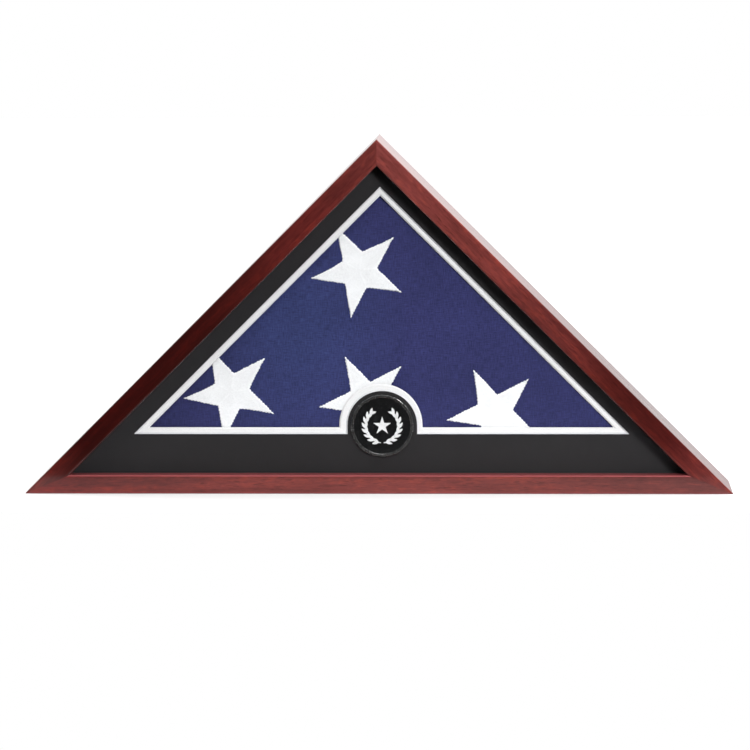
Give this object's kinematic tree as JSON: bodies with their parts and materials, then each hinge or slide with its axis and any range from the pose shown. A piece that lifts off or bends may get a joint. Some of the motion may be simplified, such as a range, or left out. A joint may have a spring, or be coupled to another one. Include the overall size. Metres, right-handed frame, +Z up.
{
  "type": "folded flag display case",
  "caption": "Triangular wooden shadow box that shows a folded flag behind glass and bevelled mats, with a round medallion and a lift-off back.",
  "frame": {"origin": "middle of the base rail's underside, halfway through the case's depth from front face to back face", "axes": "+Z up, +X along the base to the viewer's right, -Y towards the viewer, so the glass faces -Y"},
  "size_m": [0.6792, 0.0884, 0.3399],
  "materials": {
    "rail_wood": "satin",
    "nail_steel": "satin",
    "glass": "gloss",
    "spacer_plastic": "matte",
    "mat_black": "matte",
    "mat_white": "matte",
    "foam_pad": "matte",
    "medallion_black": "gloss",
    "medallion_disc_black": "gloss",
    "emblem_white": "satin",
    "liner_wood": "matte",
    "flag_blue": "matte",
    "star_white": "matte",
    "hardboard": "satin",
    "screw_steel": "satin",
    "button_steel": "satin"
  },
  "bodies": {
    "frame": {"left_rail": "rail_wood", "right_rail": "rail_wood", "base_rail": "rail_wood", "mitre_v_nails": "nail_steel", "glass_pane": "glass", "glass_spacer_left": "spacer_plastic", "glass_spacer_right": "spacer_plastic", "glass_spacer_base": "spacer_plastic", "black_mat": "mat_black", "white_mat": "mat_white", "medallion_pad": "foam_pad", "medallion_cup": "medallion_black", "medallion_disc": "medallion_disc_black", "medallion_emblem": "emblem_white", "left_liner": "liner_wood", "right_liner": "liner_wood", "base_liner": "liner_wood", "liner_brads": "nail_steel", "turn_button_screws": "screw_steel"},
    "back_panel": {"back_panel": "hardboard"},
    "flag": {"folded_flag": "flag_blue", "flag_stars": "star_white"},
    "turn_button_1": {"turn_button_1": "button_steel"},
    "turn_button_2": {"turn_button_2": "button_steel"},
    "turn_button_3": {"turn_button_3": "button_steel"},
    "turn_button_4": {"turn_button_4": "button_steel"},
    "turn_button_5": {"turn_button_5": "button_steel"},
    "turn_button_6": {"turn_button_6": "button_steel"}
  },
  "joints": [
    {"name": "panel_lift_off", "type": "slide", "parent": "frame", "child": "back_panel", "axis": [0, 1, 0], "range_m": [0, 0.25]},
    {"name": "flag_lift_out", "type": "slide", "parent": "frame", "child": "flag", "axis": [0, 1, 0], "range_m": [0, 0.125]},
    {"name": "turn_button_1_swing", "type": "hinge", "parent": "frame", "child": "turn_button_1", "pos_m": [-0.15, 0.0434, 0.0046], "axis": [0, -1, 0], "range_deg": [0, 90]},
    {"name": "turn_button_2_swing", "type": "hinge", "parent": "frame", "child": "turn_button_2", "pos_m": [0.15, 0.0434, 0.0046], "axis": [0, 1, 0], "range_deg": [0, 90]},
    {"name": "turn_button_3_swing", "type": "hinge", "parent": "frame", "child": "turn_button_3", "pos_m": [-0.2516, 0.0434, 0.08189], "axis": [0, 1, 0], "range_deg": [0, 90]},
    {"name": "turn_button_4_swing", "type": "hinge", "parent": "frame", "child": "turn_button_4", "pos_m": [-0.08189, 0.0434, 0.2516], "axis": [0, -1, 0], "range_deg": [0, 90]},
    {"name": "turn_button_5_swing", "type": "hinge", "parent": "frame", "child": "turn_button_5", "pos_m": [0.2516, 0.0434, 0.08189], "axis": [0, -1, 0], "range_deg": [0, 90]},
    {"name": "turn_button_6_swing", "type": "hinge", "parent": "frame", "child": "turn_button_6", "pos_m": [0.08189, 0.0434, 0.2516], "axis": [0, 1, 0], "range_deg": [0, 90]}
  ],
  "couplings": [
    {"joint": "flag_lift_out", "follows": "panel_lift_off", "ratio": 0.5}
  ]
}
